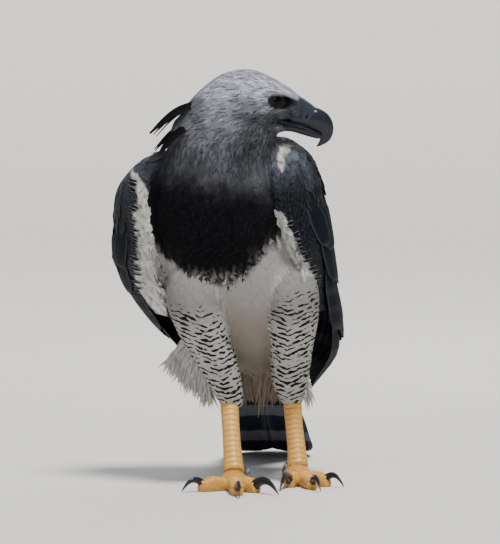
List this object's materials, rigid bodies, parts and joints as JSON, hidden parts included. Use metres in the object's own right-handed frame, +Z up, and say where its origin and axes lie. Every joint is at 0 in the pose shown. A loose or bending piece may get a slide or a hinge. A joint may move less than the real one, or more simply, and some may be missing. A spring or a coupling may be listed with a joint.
{
  "type": "harpy eagle",
  "caption": "Life-size standing harpy eagle with folded wings, crest, hooked bill, barred feathered legs, large talons and a long tail that rests behind it.",
  "frame": {"origin": "on the floor, under the middle of the whole bird's box", "axes": "+Z up; -Y is the way the bird's chest and toes face; +X is the bird's left, the way its bill points; the tail runs towards +Y"},
  "size_m": [0.3052, 0.5998, 0.5456],
  "materials": {
    "head_feathers": "soft matte feathers, mid grey",
    "crest_feathers": "stiff matte feathers, near black",
    "breast_feathers": "soft matte feathers, black",
    "belly_feathers": "soft matte feathers, warm white",
    "leg_feathers": "soft matte feathers, white with dark bars",
    "wing_feathers": "flat feathers with a slight sheen, slate black",
    "tail_feathers": "flat feathers with a slight sheen, black with grey bands",
    "horn": "polished horn, black",
    "cere": "smooth bare skin, dark slate",
    "foot_skin": "scaly bare skin, yellow orange",
    "eye": "wet gloss, very dark brown"
  },
  "bodies": {
    "root": {"head": "head_feathers", "neck": "head_feathers", "crest": "crest_feathers", "cere": "cere", "bill_upper": "horn", "bill_lower": "horn", "eye_left": "eye", "eye_right": "eye", "breast": "breast_feathers", "belly": "belly_feathers", "vent": "belly_feathers", "tail": "tail_feathers", "wing_left": "wing_feathers", "wing_right": "wing_feathers", "thigh_left": "leg_feathers", "thigh_right": "leg_feathers", "tarsus_left": "foot_skin", "tarsus_right": "foot_skin", "foot_left": "foot_skin", "foot_right": "foot_skin", "talon_left_hind": "horn", "talon_left_inner": "horn", "talon_left_middle": "horn", "talon_left_outer": "horn", "talon_right_hind": "horn", "talon_right_inner": "horn", "talon_right_middle": "horn", "talon_right_outer": "horn"}
  },
  "joints": []
}
